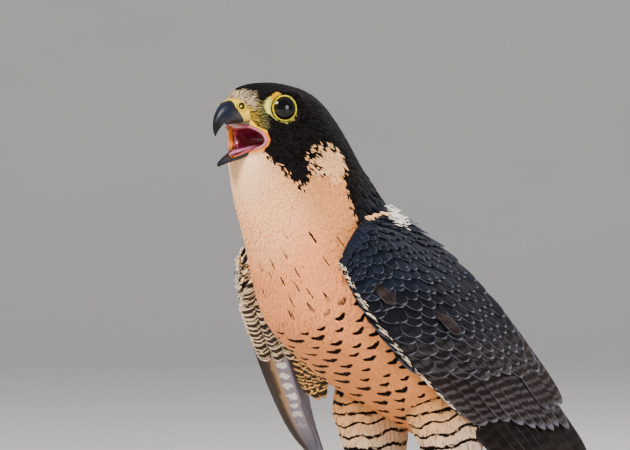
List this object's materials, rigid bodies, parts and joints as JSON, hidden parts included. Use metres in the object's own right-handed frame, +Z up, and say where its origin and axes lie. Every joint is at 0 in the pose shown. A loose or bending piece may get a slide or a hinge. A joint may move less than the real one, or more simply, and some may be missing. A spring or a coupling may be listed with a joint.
{
  "type": "life-size peregrine falcon, standing, bill open",
  "caption": "Life-size peregrine falcon standing on the floor, bill open, one wing folded and drooped, the other held half open beside the body.",
  "frame": {"origin": "on the floor, under the middle of the bounding box", "axes": "+Z up, the breast faces -Y, the bird's left side is towards +X"},
  "size_m": [0.3184, 0.3484, 0.3633],
  "materials": {
    "crown": "matt feathers, blackish slate",
    "breast": "matt feathers, warm buff with dark bars",
    "slate": "smooth feathers, dark blue-grey with pale fringes",
    "trousers": "soft feathers, buff with dark wavy bars",
    "horn": "satin horn, slate blue, darker at the tip",
    "cere": "waxy bare skin, yellow",
    "gape": "moist bare skin, yellow-orange",
    "mouth": "moist, dark pink",
    "eye": "wet and glossy, near black",
    "leg_scale": "fine scales, yellow",
    "claw": "polished horn, black"
  },
  "bodies": {
    "root": {"head": "crown", "neck": "breast", "torso": "breast", "cere": "cere", "bill_upper": "horn", "bill_lower": "horn", "tongue": "mouth", "wing_left": "slate", "wing_right": "slate", "tail": "slate", "eye_left": "eye", "eyelid_left": "cere", "gape_left": "gape", "thigh_left": "trousers", "tarsus_left": "leg_scale", "foot_left": "leg_scale", "claw_left_hind": "claw", "claw_left_inner": "claw", "claw_left_middle": "claw", "claw_left_outer": "claw", "eye_right": "eye", "eyelid_right": "cere", "gape_right": "gape", "thigh_right": "trousers", "tarsus_right": "leg_scale", "foot_right": "leg_scale", "claw_right_hind": "claw", "claw_right_inner": "claw", "claw_right_middle": "claw", "claw_right_outer": "claw"}
  },
  "joints": []
}
